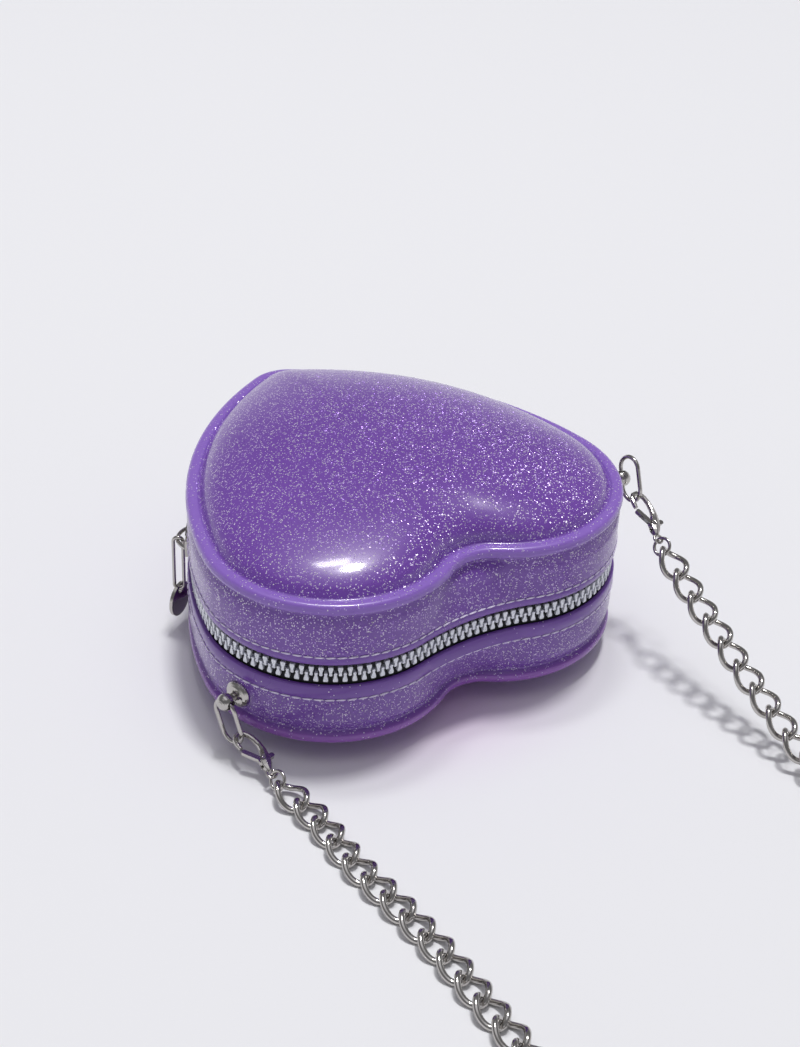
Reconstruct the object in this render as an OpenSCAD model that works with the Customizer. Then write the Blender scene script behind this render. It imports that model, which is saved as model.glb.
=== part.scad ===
// Heart shaped shoulder purse with two moulded shells, a zip round the side
// and a curb chain strap. Millimetres, +Z up. The purse lies on its rear
// shell, the origin is the middle of the flat on which it rests, and the tip
// of the heart points along +Y.

/* [Heart outline] */
// Radius of the two round lobes
lobe_r = 38; // [35:1:41]
// Distance of each lobe's centre from the middle line
lobe_x = 28; // [26:1:30]
// Distance from the line of the lobes' centres to the centre of the tip
heart_len = 74; // [70:1:78]
// Distance of the lobes' centres in front of the origin
lobe_y = 25; // [22:1:28]
// Radius of the round tip
tip_r = 13.5; // [12:0.5:15]
// Radius of the long flanks between lobe and tip
flank_r = 110; // [104:2:120]
// Radius of the cleft between the lobes along the rims
rim_cleft_r = 13.5; // [12:0.5:16]
// Radius of the shallower cleft along the zip
zip_cleft_r = 73; // [66:1:80]

/* [Shells] */
// Height of the middle of the zip above the surface
zip_z = 31; // [30:0.2:32]
// Width of the slot between the two lips, where the teeth show
lip_gap = 7.2; // [7:0.1:8]
// Depth of the front shell from its lip to the middle of its bead
front_depth = 18.4; // [17:0.2:20]
// Depth of the rear shell from its lip to the middle of its bead
rear_depth = 18.9; // [18.4:0.1:19.4]
// Height of the front shell's dome above the foot of the dome
front_dome_h = 13.4; // [10:0.2:16]
// Radius of the raised bead round each shell
bead_r = 1.7; // [1.5:0.05:1.9]
// Thickness of the moulded wall
wall_t = 1.8; // [1.5:0.1:2]
// Distance from a lip's inner face in to the outline
lip_inset = 1.5; // [1.4:0.1:1.7]
// Thickness of the front lip
front_lip_t = 1.2; // [1.1:0.1:1.4]
// Thickness of the rear lip
rear_lip_t = 1.4; // [1.3:0.1:1.6]
// Height of the stitched part of each lip
lip_h = 4.2; // [3.6:0.1:5]

/* [Zip] */
// Distance between neighbouring teeth on one tape
tooth_pitch = 2.6; // [2.5:0.05:2.8]
// Width of the closed row of teeth
teeth_w = 5.4; // [5.2:0.1:5.6]
// Thickness of the teeth
teeth_t = 2.4; // [2.2:0.1:2.5]
// Thickness of the woven tape
tape_t = 0.7; // [0.6:0.05:0.8]
// Width of each tape from its edge at the teeth
tape_w = 6.8; // [6:0.1:7]
// Half of the slit between the edges of the two tapes
tape_slit = 1; // [0.95:0.01:1.05]
// Gap between a tape and the lip that it is sewn to
tape_gap = 0.3; // [0.25:0.01:0.35]
// Angle round the flank's centre at which the closed slider stands
slider_deg = 31.8; // [31:0.2:33]
// Angle that the slider can travel from there along the flank
slider_travel_deg = 18; // [15:1:18]
// Length of the slider along the teeth
slider_len = 12; // [11.4:0.2:12.4]
// Distance between the slider's plates and the teeth
slider_gap = 0.25; // [0.2:0.01:0.3]
// Thickness of the slider's outer plate
slider_plate_t = 1.4; // [1.3:0.05:1.5]
// Thickness of the wire of the slider's bridge
bridge_wire = 1.2; // [1.1:0.05:1.3]
// Height of the bridge's middle above the outer plate
bridge_h = 2.5; // [2.4:0.05:2.7]

/* [Zip pull] */
// Distance of the pull from the middle of the bridge, towards the lobes
pull_shift = 2; // [1:0.1:2.2]
// Thickness of the wire of the pull link
pull_wire = 1.1; // [1:0.05:1.15]
// Distance between the middles of the two ends of the pull link
pull_len = 15.7; // [14:0.1:16.5]
// Diameter of the round tag
charm_d = 11; // [9:0.5:12]
// Thickness of the round tag
charm_t = 1; // [0.8:0.05:1]
// Diameter of the hole in the tag
charm_hole_d = 2.6; // [2.4:0.1:2.8]
// Angle by which the tag is turned from the wall
charm_turn = 24; // [20:1:27]

/* [Hinge strip] */
// Angle round the flank's centre at which the strip starts behind the slider
strip_deg = 37.2; // [36.6:0.2:38.2]
// Length of the strip on the far flank, past the tip
strip_past_tip = 12; // [10:0.5:16]

/* [Studs and rings] */
// Diameter of each stud's ball
ball_d = 5.2; // [5:0.1:5.6]
// Distance of the ball's middle from the wall
ball_reach = 5.1; // [5:0.1:5.6]
// Diameter of each stud's foot
foot_d = 8.2; // [7:0.1:9]
// Diameter of the cross hole in the ball
ball_hole_d = 2.8; // [2.7:0.05:2.9]
// Diameter of the screw that holds each stud
screw_d = 2.4; // [2:0.1:2.6]
// Angle of the left stud, forward of the left side
left_stud_deg = 18; // [12:1:20]
// Height of the left stud
left_stud_z = 17; // [16:0.2:18]
// Angle of the right stud, forward of the right side
right_stud_deg = 11; // [8:1:14]
// Height of the right stud
right_stud_z = 46; // [45:0.2:47]
// Width of the oval ring between the middles of its wires
ring_w = 7.5; // [7:0.1:8]
// Length of the oval ring's straight sides
ring_side = 6.1; // [5:0.1:7]
// Thickness of the oval ring's wire
ring_wire = 1.3; // [1.2:0.05:1.4]

/* [Clasps] */
// Length of each lobster clasp from the hook to the eye
clasp_len = 19.4; // [18.8:0.2:20]
// Thickness of the clasp's hook
hook_wire = 1.8; // [1.6:0.05:2]
// Thickness of the clasp's lever
lever_t = 1.1; // [0.9:0.05:1.2]
// Diameter of the lever's pin
clasp_pin_d = 0.9; // [0.8:0.05:1]
// Diameter of the round ring behind each clasp
end_ring_d = 5.2; // [4.8:0.1:5.6]
// Thickness of that ring's wire
end_ring_wire = 1; // [0.9:0.05:1.1]

/* [Chain] */
// Thickness of the links' wire
link_wire = 2; // [1.8:0.05:2]
// Length of a link between the middles of its ends
link_len = 10.5; // [10.4:0.05:10.7]
// Width of a link between the middles of its sides
link_w = 7.4; // [7.2:0.05:7.6]
// Angle by which each end of a link is twisted
link_twist = 50; // [45:1:52]
// Distance between neighbouring links where the chain is drawn out
link_pitch = 8.2; // [8.1:0.02:8.3]
// Distance between neighbouring links where the chain lies folded
slack_pitch = 7.85; // [7.7:0.01:7.9]

/* [Hidden] */
plum = "#7a59ab";
dark_plum = "#4e3470";
nickel = "#c9c7c4";
tooth_white = "#dfe3ea";
tape_black = "#101014";
// How far each cut runs past the material
over = 1;

// Steps round half of the heart: cleft, lobe, flank and tip
cleft_steps = 3;
lobe_steps = 18;
flank_steps = 8;
tip_steps = 3;

// Centres of the heart's arcs, on the right hand side
lobe_c = [lobe_x, -lobe_y];
tip_c = [0, heart_len - lobe_y];
lobe_to_tip = norm(tip_c - lobe_c);
along = (pow(flank_r - lobe_r, 2) - pow(flank_r - tip_r, 2) + pow(lobe_to_tip, 2)) / (2 * lobe_to_tip);
aside = sqrt(pow(flank_r - lobe_r, 2) - pow(along, 2));
to_tip = (tip_c - lobe_c) / lobe_to_tip;
flank_c = lobe_c + along * to_tip + aside * [-to_tip.y, to_tip.x];
flank_a0 = atan2(lobe_c.y - flank_c.y, lobe_c.x - flank_c.x);
flank_a1 = atan2(tip_c.y - flank_c.y, tip_c.x - flank_c.x);
function cleft_drop(rc) = sqrt(pow(lobe_r + rc, 2) - pow(lobe_x, 2));
function cleft_a(rc) = atan2(cleft_drop(rc), lobe_x);
function cleft_c(rc) = [0, -lobe_y - cleft_drop(rc)];

// Points of an arc, without its last point
function arc(c, r, a0, a1, steps) =
    [for (i = [0:steps - 1]) let (a = a0 + (a1 - a0) * i / steps) c + r * [cos(a), sin(a)]];
// Right half of the outline at offset d, from the cleft round to the tip
function half_heart(d, rc) = concat(
    arc(cleft_c(rc), rc - d, 90, cleft_a(rc), cleft_steps),
    arc(lobe_c, lobe_r + d, cleft_a(rc) - 180, flank_a0, lobe_steps),
    arc(flank_c, flank_r + d, flank_a0, flank_a1, flank_steps),
    arc(tip_c, tip_r + d, flank_a1, 90, tip_steps),
    [tip_c + [0, tip_r + d]]);
function full_heart(d, rc) = let (h = half_heart(d, rc), n = len(h))
    concat(h, [for (i = [n - 2:-1:1]) [-h[i].x, h[i].y]]);
// Outline at offset d whose cleft lies a share k between zip and rim
function heart(d, k) = let (a = full_heart(d, zip_cleft_r), b = full_heart(d, rim_cleft_r))
    [for (i = [0:len(a) - 1]) a[i] * (1 - k) + b[i] * k];
function lift(ring, z) = [for (p = ring) [p.x, p.y, z]];

// Closed skin over a list of rings of points, from the first cap to the last
module skin(rings) {
    n = len(rings[0]);
    m = len(rings);
    polyhedron([for (r = rings) each r], concat(
        [[for (i = [n - 1:-1:0]) i]],
        [for (k = [0:m - 2], i = [0:n - 1]) let (a = k * n + i, b = k * n + (i + 1) % n)
            each [[a, b, b + n], [a, b + n, a + n]]],
        [[for (i = [0:n - 1]) (m - 1) * n + i]]));
}

// Shell: the lip's edge is at height 0 and the dome rises from it
dome_foot = 4.8;
dome_inset = dome_foot + wall_t;
dome_mid = [0, -lobe_y / 5];
oval_half = (lobe_x + lobe_r) * 0.8;
dome_power = 2.2;
lip_line = lip_h / 2;
groove_depth = bead_r * 2.2;
wall_under_bead = 2.1;
// Ring of the dome a share u of the way in from its foot, set in by inset
function dome_ring(u, inset) = let (w = 1 - pow(1 - u, 2))
    [for (p = heart(-inset, 1)) let (q = p - dome_mid, o = oval_half * q / norm(q))
        dome_mid + (1 - u) * (q * (1 - w) + o * w)];
function dome_rise(u, flat) = u >= 1 - flat ? 1 :
    sqrt(1 - pow(1 - u / (1 - flat), dome_power));
outer_steps_share = [0.05, 0.13, 0.23, 0.36, 0.5, 0.66, 0.8];
flat_steps_share = [0.05, 0.12, 0.21, 0.32, 0.45];
inner_steps_share = [0.2, 0.5];

module shell(depth, lip_out, dome_h, flat, steps) {
    top = depth + bead_r * 0.7;
    last = steps[len(steps) - 1];
    skin(concat(
        [for (i = [len(steps) - 1:-1:0])
            lift(dome_ring(steps[i], dome_foot), top + dome_h * dome_rise(steps[i], flat))],
        [lift(heart(-dome_foot, 1), top),
        lift(heart(-dome_foot + bead_r / 2, 1), depth + bead_r * 0.45),
        lift(heart(-bead_r * 1.85, 1), depth + bead_r * 0.85),
        lift(heart(-bead_r * 0.95, 1), depth + bead_r),
        lift(heart(-bead_r * 0.35, 1), depth + bead_r * 0.68),
        lift(heart(0, 1), depth - bead_r * 0.15),
        lift(heart(-bead_r * 0.4, 1), depth - bead_r * 0.9),
        lift(heart(-wall_under_bead, 0.9), depth - bead_r * 1.5),
        lift(heart(lip_out - bead_r * 0.4, 0.7), depth - bead_r * 2.4),
        lift(heart(lip_out, 0.35), depth / 2),
        lift(heart(lip_out, 0), lip_line),
        lift(heart(lip_out, 0), 0),
        lift(heart(-lip_inset, 0), 0),
        lift(heart(-lip_inset, 0), lip_h),
        lift(heart(-lip_inset - bead_r / 4, 0.35), depth / 2),
        lift(heart(-lip_inset - bead_r * 0.35, 0.7), depth - bead_r * 2.4),
        lift(heart(-dome_inset + bead_r * 0.6, 1), depth - bead_r * 1.2),
        lift(heart(-dome_inset, 1), top - wall_t)],
        [for (u = inner_steps_share)
            lift(dome_ring(u * last, dome_inset), top - wall_t + dome_h * dome_rise(u * last, flat))],
        [lift(dome_ring(last, dome_inset), top - wall_t + dome_h)]));
}

// Places of the two shells
front_lip_z = zip_z + lip_gap / 2;
rear_lip_z = zip_z - lip_gap / 2;
front_lip_out = front_lip_t - lip_inset;
rear_lip_out = rear_lip_t - lip_inset;
rear_dome_h = rear_lip_z - rear_depth - bead_r * 0.7;
front_flat = 0;
rear_flat = 0.55;

module front_place() { translate([0, 0, front_lip_z]) children(); }
module rear_place() { translate([0, 0, rear_lip_z]) mirror([0, 0, 1]) children(); }

module rear_shell() {
    color(dark_plum) difference() {
        rear_place() shell(rear_depth, rear_lip_out, rear_dome_h, rear_flat, flat_steps_share);
        left_stud_place() rotate([0, 90, 0])
            cylinder(d = screw_d + stud_fit, h = 2 * (rear_lip_t + over), center = true, $fn = 32);
    }
}

module front_shell() {
    color(plum) difference() {
        front_place() shell(front_depth, front_lip_out, front_dome_h, front_flat, outer_steps_share);
        right_stud_place() rotate([0, 90, 0])
            cylinder(d = screw_d + stud_fit, h = 2 * (rear_lip_t + over), center = true, $fn = 32);
    }
}

// Zip line
tape_out = lip_inset + tape_gap;
teeth_off = tape_out + tape_t / 2;

// Arcs of the zip's line from the slider round both lobes to the tip:
// centre, radius, first and last angle, and 1 where the line bends outwards
rz = zip_cleft_r;
left_flank_c = [-flank_c.x, flank_c.y];
left_lobe_c = [-lobe_x, -lobe_y];
function line_arcs(d, a_start) = [
    [left_flank_c, flank_r + d, a_start, 180 - flank_a0, 1],
    [left_lobe_c, lobe_r + d, 180 - flank_a0, 360 - cleft_a(rz), 1],
    [cleft_c(rz), rz - d, 180 - cleft_a(rz), cleft_a(rz), -1],
    [lobe_c, lobe_r + d, cleft_a(rz) + 180, 360 + flank_a0, 1],
    [flank_c, flank_r + d, flank_a0, flank_a1, 1],
    [tip_c, tip_r + d, flank_a1, 180 - flank_a1, 1],
    [left_flank_c, flank_r + d, 180 - flank_a1, 180 - strip_deg, 1]];
function arc_len(g) = g[1] * abs(g[3] - g[2]) * PI / 180;
// Place on the line at length s: point and direction of the outward normal
function on_arcs(g, s, i = 0) =
    s <= arc_len(g[i]) || i == len(g) - 1
        ? let (a = g[i][2] + (g[i][3] - g[i][2]) * s / arc_len(g[i]))
            [g[i][0] + g[i][1] * [cos(a), sin(a)], g[i][4] > 0 ? a : a + 180]
        : on_arcs(g, s - arc_len(g[i]), i + 1);
function sum_to(v, n) = n < 0 ? 0 : v[n] + sum_to(v, n - 1);

// The line of the tape, from the end of the hinge strip onwards
line_start = 180 - strip_deg;
tooth_line = line_arcs(-teeth_off, line_start);
line_lens = [for (g = tooth_line) arc_len(g)];
deg_to_len = (flank_r - teeth_off) * PI / 180;
slider_s = (strip_deg - slider_deg) * deg_to_len;
travel_s = slider_s + slider_travel_deg * deg_to_len + slider_len * 0.6;
zip_end_s = sum_to(line_lens, 4) - strip_past_tip;
post_w = 1.2;
stop_from = 0.7;
post_len = 2.6;
post_s = slider_s - slider_len / 2 + post_len;
stop_len = 2;
first_tooth_s = post_s + tooth_pitch;
tooth_count = floor((zip_end_s - stop_len - first_tooth_s) / tooth_pitch);
end_teeth = ceil((travel_s - first_tooth_s) / tooth_pitch);
split_s = first_tooth_s + (end_teeth - 0.5) * tooth_pitch;
last_split_s = first_tooth_s + tooth_count * tooth_pitch;
split_gap = 0.3;

// Band along the line between lengths s0 and s1 and depths d0 and d1,
// as wide as the two heights
band_step = 3;
module band(s0, s1, d0, d1, z0, z1) {
    n = ceil((s1 - s0) / band_step);
    pts = [for (i = [0:n]) on_arcs(tooth_line, s0 + (s1 - s0) * i / n)];
    function side(d) = [for (p = pts) p[0] + (teeth_off - d) * [cos(p[1]), sin(p[1])]];
    a = side(d0);
    b = side(d1);
    translate([0, 0, z0]) linear_extrude(z1 - z0)
        polygon(concat(a, [for (i = [n:-1:0]) b[i]]));
}

module tape(side, s0, s1) {
    band(s0, s1, tape_out, tape_out + tape_t,
        side > 0 ? zip_z + tape_slit : zip_z - tape_slit - tape_w,
        side > 0 ? zip_z + tape_slit + tape_w : zip_z - tape_slit);
}

// One moulded tooth, which clasps the edge of its tape. Its heel is at the
// tape, its neck is narrow and its head lies between the opposite necks
tooth_fit = 0.05;
heel_share = [0.26, 0.33, 0.13, 0.19, 0.1];
module tooth(side) {
    r = teeth_w / 2;
    w = heel_share * tooth_pitch;
    outline = [[r, w[0]], [r * 0.78, w[1]], [r * 0.12, w[2]], [-r * 0.12, w[3]], [-r * 0.31, w[4]]];
    difference() {
        rotate([90, 0, 0]) rotate([0, 90, 0]) linear_extrude(teeth_t, center = true)
            polygon(concat([for (p = outline) [p[1], side * p[0]]],
                [for (i = [len(outline) - 1:-1:0]) [-outline[i][1], side * outline[i][0]]]));
        translate([0, 0, side * (tape_slit - tooth_fit + r)])
            cube([tape_t + 2 * tooth_fit, tooth_pitch, 2 * r], center = true);
    }
}

module tooth_row(side, from, to) {
    for (i = [from:to]) {
        p = on_arcs(tooth_line, first_tooth_s + (i + (side > 0 ? 0 : 0.5)) * tooth_pitch);
        translate([p[0].x, p[0].y, zip_z]) rotate([0, 0, p[1]]) tooth(side);
    }
}

module rear_tape() {
    color(tape_black) tape(-1, split_s + split_gap, zip_end_s);
}

module front_tape() {
    color(tape_black) tape(1, split_s + split_gap, zip_end_s);
}

module rear_teeth() {
    color(tooth_white) tooth_row(-1, end_teeth, tooth_count - 1);
}

module front_teeth() {
    color(tooth_white) tooth_row(1, end_teeth, tooth_count - 1);
}

// End of one half of the zip, along which the slider runs: tape, teeth and
// the stop beside the slider's post
module zip_end(side) {
    tape(side, split_gap, split_s);
    tooth_row(side, 0, end_teeth - 1);
    p = on_arcs(tooth_line, post_s - post_len / 2);
    r = teeth_w / 2;
    translate([p[0].x, p[0].y, zip_z]) rotate([0, 0, p[1]]) difference() {
        translate([0, 0, side * (stop_from + r) / 2])
            cube([teeth_t, stop_len, r - stop_from], center = true);
        translate([0, 0, side * (tape_slit - tooth_fit + r)])
            cube([tape_t + 2 * tooth_fit, tooth_pitch, 2 * r], center = true);
    }
}

module rear_zip_end() {
    color(tape_black) zip_end(-1);
}

module front_zip_end() {
    color(tape_black) zip_end(1);
}

// Block that joins the two tapes where the zip begins
module zip_bottom_stop() {
    p = on_arcs(tooth_line, zip_end_s - stop_len);
    color(tooth_white) translate([p[0].x, p[0].y, zip_z]) rotate([0, 0, p[1]]) difference() {
        cube([teeth_t, stop_len, teeth_w], center = true);
        for (side = [-1, 1])
            translate([0, 0, side * (tape_slit - split_gap + teeth_w / 2)])
                cube([tape_t + 2 * split_gap, stop_len + over, teeth_w], center = true);
    }
}

// Strip that closes the slot between slider and tip and bends when the
// front shell opens
strip_grip = 3.4;
strip_end = sum_to(line_lens, 6);
module hinge_strip() {
    color(tape_black) band(zip_end_s + split_gap, strip_end, tape_out, tape_out + tape_t,
        rear_lip_z - strip_grip, front_lip_z + strip_grip);
}

// Slider: two plates on either side of the teeth, joined by a post, and a
// bridge for the pull. Local X points out of the purse from the flank's
// centre and the slider lies at angle 0
plate_out = slider_gap - teeth_off + teeth_t / 2;
face_out = plate_out + slider_plate_t;
inner_plate_t = 1.2;
plate_half = lip_gap / 2 - slider_gap;
flange_w = 1;
flange_gap = 0.3;
inner_half = teeth_w / 2 + flange_w + flange_gap;
module slider_place() {
    translate([left_flank_c.x, left_flank_c.y, zip_z]) rotate([0, 0, 180 - slider_deg]) children();
}
module arc_plate(d0, d1, half_h, deg0, deg1) {
    rotate([0, 0, deg0]) rotate_extrude(angle = deg1 - deg0, $fn = 180)
        translate([flank_r + d0, -half_h]) square([d1 - d0, 2 * half_h]);
}
plate_deg = slider_len / deg_to_len / 2;
post_deg = post_len / deg_to_len;
bridge_half = slider_len * 0.43;
bridge_r = (pow(bridge_half, 2) + pow(bridge_h, 2)) / (2 * bridge_h);
bridge_deg = asin(bridge_half / bridge_r) + 4;
bridge_sag = bridge_r - sqrt(pow(bridge_r, 2) - pow(pull_shift, 2));
module zip_slider() {
    color(nickel) slider_place() union() {
        difference() {
            arc_plate(plate_out, face_out, plate_half, -plate_deg, plate_deg);
            for (side = [-1, 1]) translate([flank_r, slider_len / 2 + slider_gap, side * plate_half])
                rotate([side * 14, 0, 0]) cube([slider_len, slider_len, bridge_wire], center = true);
        }
        arc_plate(-teeth_off * 2 - plate_out - inner_plate_t, -teeth_off * 2 - plate_out,
            inner_half, -plate_deg, plate_deg);
        arc_plate(-teeth_off * 2 - plate_out - inner_plate_t / 2, plate_out + slider_plate_t / 2,
            post_w / 2, -plate_deg, post_deg - plate_deg);
        for (side = [-1, 1]) translate([0, 0, side * (inner_half - flange_w / 2)])
            arc_plate(-teeth_off * 2 - plate_out - inner_plate_t / 2, -tape_out - tape_t - slider_gap,
                flange_w / 2, -plate_deg, plate_deg);
        translate([flank_r + face_out + bridge_h - bridge_r, 0, 0]) rotate([0, 0, -bridge_deg])
            rotate_extrude(angle = 2 * bridge_deg, $fn = 96)
                translate([bridge_r, 0]) circle(d = bridge_wire, $fn = 32);
    }
}

// Oval wire ring standing in the XZ plane: the upper end's centre is at the
// origin and the straight sides run down
module oval_ring(w, side, wire) {
    union() {
        rotate([90, 0, 0]) rotate_extrude(angle = 180, $fn = 64)
            translate([w / 2, 0]) circle(d = wire, $fn = 32);
        translate([0, 0, -side]) rotate([90, 0, 0]) rotate([0, 0, 180])
            rotate_extrude(angle = 180, $fn = 64) translate([w / 2, 0]) circle(d = wire, $fn = 32);
        for (x = [-w / 2, w / 2]) translate([x, 0, -side])
            cylinder(d = wire, h = side, $fn = 32);
    }
}

// Pull link, whose upper end lies round the bridge
pull_fit = 0.3;
pull_w = bridge_wire + pull_wire + 2 * pull_fit;
module pull_place() {
    slider_place() translate([flank_r + face_out + bridge_h - bridge_sag, pull_shift, 0]) children();
}
module zip_pull_link() {
    color(nickel) pull_place() oval_ring(pull_w, pull_len, pull_wire);
}

// Round tag, whose hole hangs on the pull link's lower end
charm_drop = charm_d / 2 - charm_hole_d / 2 - charm_t * 0.55;
hole_drop = pull_len + pull_w / 2 + (charm_hole_d - pull_wire) / 6;
module zip_charm() {
    color(nickel) pull_place() translate([0, 0, -hole_drop]) rotate([0, 0, -charm_turn])
        rotate([0, 90, 0]) difference() {
            translate([charm_drop, 0, 0]) cylinder(d = charm_d, h = charm_t, center = true, $fn = 96);
            cylinder(d = charm_hole_d, h = charm_t + over, center = true, $fn = 48);
        }
}

// Studs. Local X points out of the wall, Y along it and Z up, and the origin
// lies on the wall's outer face
stud_fit = 0.3;
seat_gap = 0.1;
module left_stud_place() {
    translate([left_lobe_c.x, left_lobe_c.y, left_stud_z]) rotate([0, 0, 180 + left_stud_deg])
        translate([lobe_r + rear_lip_out, 0, 0]) children();
}
module right_stud_place() {
    translate([lobe_c.x, lobe_c.y, right_stud_z]) rotate([0, 0, -right_stud_deg])
        translate([lobe_r + front_lip_out, 0, 0]) children();
}
foot_h = 2.2;
neck_d = 2.6;
screw_reach = 2.2;
neck_deg = acos(neck_d / foot_d);
ball_deg = 180 - asin(neck_d / ball_d);
foot_steps = 5;
ball_steps = 12;
// Half section of a stud, from the edge of its foot to the top of its ball
stud_section = concat([[0, 0]],
    [for (i = [0:foot_steps]) let (a = neck_deg * i / foot_steps)
        [foot_d / 2 * cos(a), foot_h * sin(a)]],
    [for (i = [0:ball_steps - 1]) let (a = ball_deg * (1 - i / ball_steps))
        [ball_d / 2 * sin(a), ball_reach - seat_gap + ball_d / 2 * cos(a)]],
    [[0, ball_reach - seat_gap + ball_d / 2]]);
module stud(hole_deg) {
    difference() {
        translate([seat_gap, 0, 0]) rotate([0, 90, 0]) rotate_extrude($fn = 64) polygon(stud_section);
        translate([ball_reach, 0, 0]) rotate([hole_deg, 0, 0]) rotate([90, 0, 0])
            cylinder(d = ball_hole_d, h = ball_d + over, center = true, $fn = 48);
        translate([seat_gap - over, 0, 0]) rotate([0, 90, 0])
            cylinder(d = screw_d + seat_gap, h = over + screw_reach / 2, $fn = 32);
    }
}
washer_t = 0.8;
washer_d = foot_d * 0.74;
head_d = screw_d * 1.9;
head_h = 1.2;
module washer(grip) {
    translate([-grip - washer_t, 0, 0]) rotate([0, 90, 0]) difference() {
        cylinder(d = washer_d, h = washer_t, $fn = 48);
        translate([0, 0, -over]) cylinder(d = screw_d + stud_fit, h = washer_t + 2 * over, $fn = 32);
    }
}
module screw(grip) {
    rotate([0, 90, 0]) union() {
        translate([0, 0, -grip - washer_t - seat_gap - head_h]) cylinder(d = head_d, h = head_h, $fn = 48);
        translate([0, 0, -grip - washer_t - seat_gap - head_h / 2])
            cylinder(d = screw_d, h = grip + washer_t + head_h / 2 + screw_reach / 2, $fn = 32);
    }
}
washer_gap = 0.8;
rear_grip = rear_lip_t + washer_gap;
front_grip = front_lip_t + washer_gap;
left_hole_deg = 0;
right_hole_deg = 63;

module left_stud() {
    color(nickel) left_stud_place() stud(left_hole_deg);
}

module left_stud_washer() {
    color(nickel) left_stud_place() washer(rear_grip);
}

module left_stud_screw() {
    color(nickel) left_stud_place() screw(rear_grip);
}

module right_stud() {
    color(nickel) right_stud_place() stud(right_hole_deg);
}

module right_stud_washer() {
    color(nickel) right_stud_place() washer(front_grip);
}

module right_stud_screw() {
    color(nickel) right_stud_place() screw(front_grip);
}

// Rings. The left one hangs by its end and leans forward; the right one is
// held by the middle of one side
left_lean = 23;
ring_lift = 0.2;
ring_drop = ring_w / 2 - ring_lift;
right_out = 17;
module left_ring() {
    color(nickel) left_stud_place() translate([ball_reach, 0, -ring_drop])
        rotate([left_lean, 0, 0]) rotate([0, 0, 90]) oval_ring(ring_w, ring_side, ring_wire);
}

module right_ring() {
    color(nickel) right_stud_place() translate([ball_reach, 0, 0])
        rotate([right_hole_deg - 90, 0, 0]) rotate([0, 0, right_out])
            translate([0, -ring_w / 2, ring_side / 2])
                rotate([0, 0, 90]) oval_ring(ring_w, ring_side, ring_wire);
}

// Lobster clasps. Local X runs from the hook to the eye, Y towards the
// hook's arm and Z square to the clasp, and the origin is the hook's top
function unit(v) = v / norm(v);
function turn_z(v, a) = [v.x * cos(a) - v.y * sin(a), v.x * sin(a) + v.y * cos(a), v.z];
// Frame of a clasp that pulls along e1 at an oval ring whose lower end's
// centre is c, in the plane of the width direction w and the long axis a
hook_fit = 0.2;
function hooked(e1, c, w, a) =
    let (q = unit((e1 * w) * w + (e1 * a) * a), e3 = unit(cross(cross(w, a), q)), e2 = cross(e3, e1),
        contact = c + ring_w / 2 * q)
    [contact - (ring_wire / 2 + hook_fit + hook_wire) * e1, e1, e2, e3];
function placed(f, deg, at) = [turn_z(f[0], deg) + at, turn_z(f[1], deg), turn_z(f[2], deg), turn_z(f[3], deg)];
left_turn = 180 + left_stud_deg;
right_turn = -right_stud_deg;
left_at = [left_lobe_c.x, left_lobe_c.y, left_stud_z] + turn_z([lobe_r + rear_lip_out, 0, 0], left_turn);
right_at = [lobe_c.x, lobe_c.y, right_stud_z] + turn_z([lobe_r + front_lip_out, 0, 0], right_turn);
left_pull = unit([0.2, 0.96, -0.16]);
right_pull = unit([0.05, -0.91, -0.42]);
left_w = [0, cos(left_lean), sin(left_lean)];
left_a = [0, -sin(left_lean), cos(left_lean)];
right_tilt = right_hole_deg - 90;
right_w = [sin(right_out), -cos(right_out) * cos(right_tilt), -cos(right_out) * sin(right_tilt)];
right_a = [0, -sin(right_tilt), cos(right_tilt)];
left_clasp_at = placed(hooked(left_pull, [ball_reach, 0, -ring_drop] - ring_side * left_a,
    left_w, left_a), left_turn, left_at);
right_clasp_at = placed(hooked(right_pull, [ball_reach, 0, 0] + ring_w / 2 * right_w
    - ring_side / 2 * right_a, right_w, right_a), right_turn, right_at);
module clasp_place(f) {
    multmatrix([[f[1].x, f[2].x, f[3].x, f[0].x], [f[1].y, f[2].y, f[3].y, f[0].y],
        [f[1].z, f[2].z, f[3].z, f[0].z]]) children();
}

// Middle line of the hook in shares of the clasp's length, then its half
// width and half thickness in shares of the hook's wire
hook_share = [[0.315, -0.125, 0.40, 0.46], [0.215, -0.125, 0.49, 0.49], [0.125, -0.102, 0.50, 0.50],
    [0.062, -0.052, 0.50, 0.50], [0.043, 0.010, 0.50, 0.50], [0.067, 0.072, 0.50, 0.50],
    [0.138, 0.120, 0.50, 0.50], [0.238, 0.145, 0.51, 0.52], [0.357, 0.152, 0.55, 0.58],
    [0.476, 0.138, 0.68, 0.70], [0.585, 0.095, 0.95, 0.84], [0.680, 0.045, 1.15, 0.91],
    [0.762, 0.015, 0.95, 0.84], [0.824, 0.002, 0.60, 0.64], [0.862, 0.000, 0.42, 0.47]];
hook_sides = 8;
function hook_point(i) = clasp_len * [hook_share[i][0], hook_share[i][1]];
eye_r = clasp_len * 0.069;
eye_wire = hook_wire * 0.55;
pin_at = clasp_len * [0.643, 0.029];
hub_r = clasp_len * 0.071;
slot_fit = 0.15;
slot_half = lever_t / 2 + slot_fit;
slot_x = clasp_len * [0.486, 0.762];
nub_half = hub_r + slot_fit;
pin_len = 3;
pin_fit = 0.04;
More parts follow.
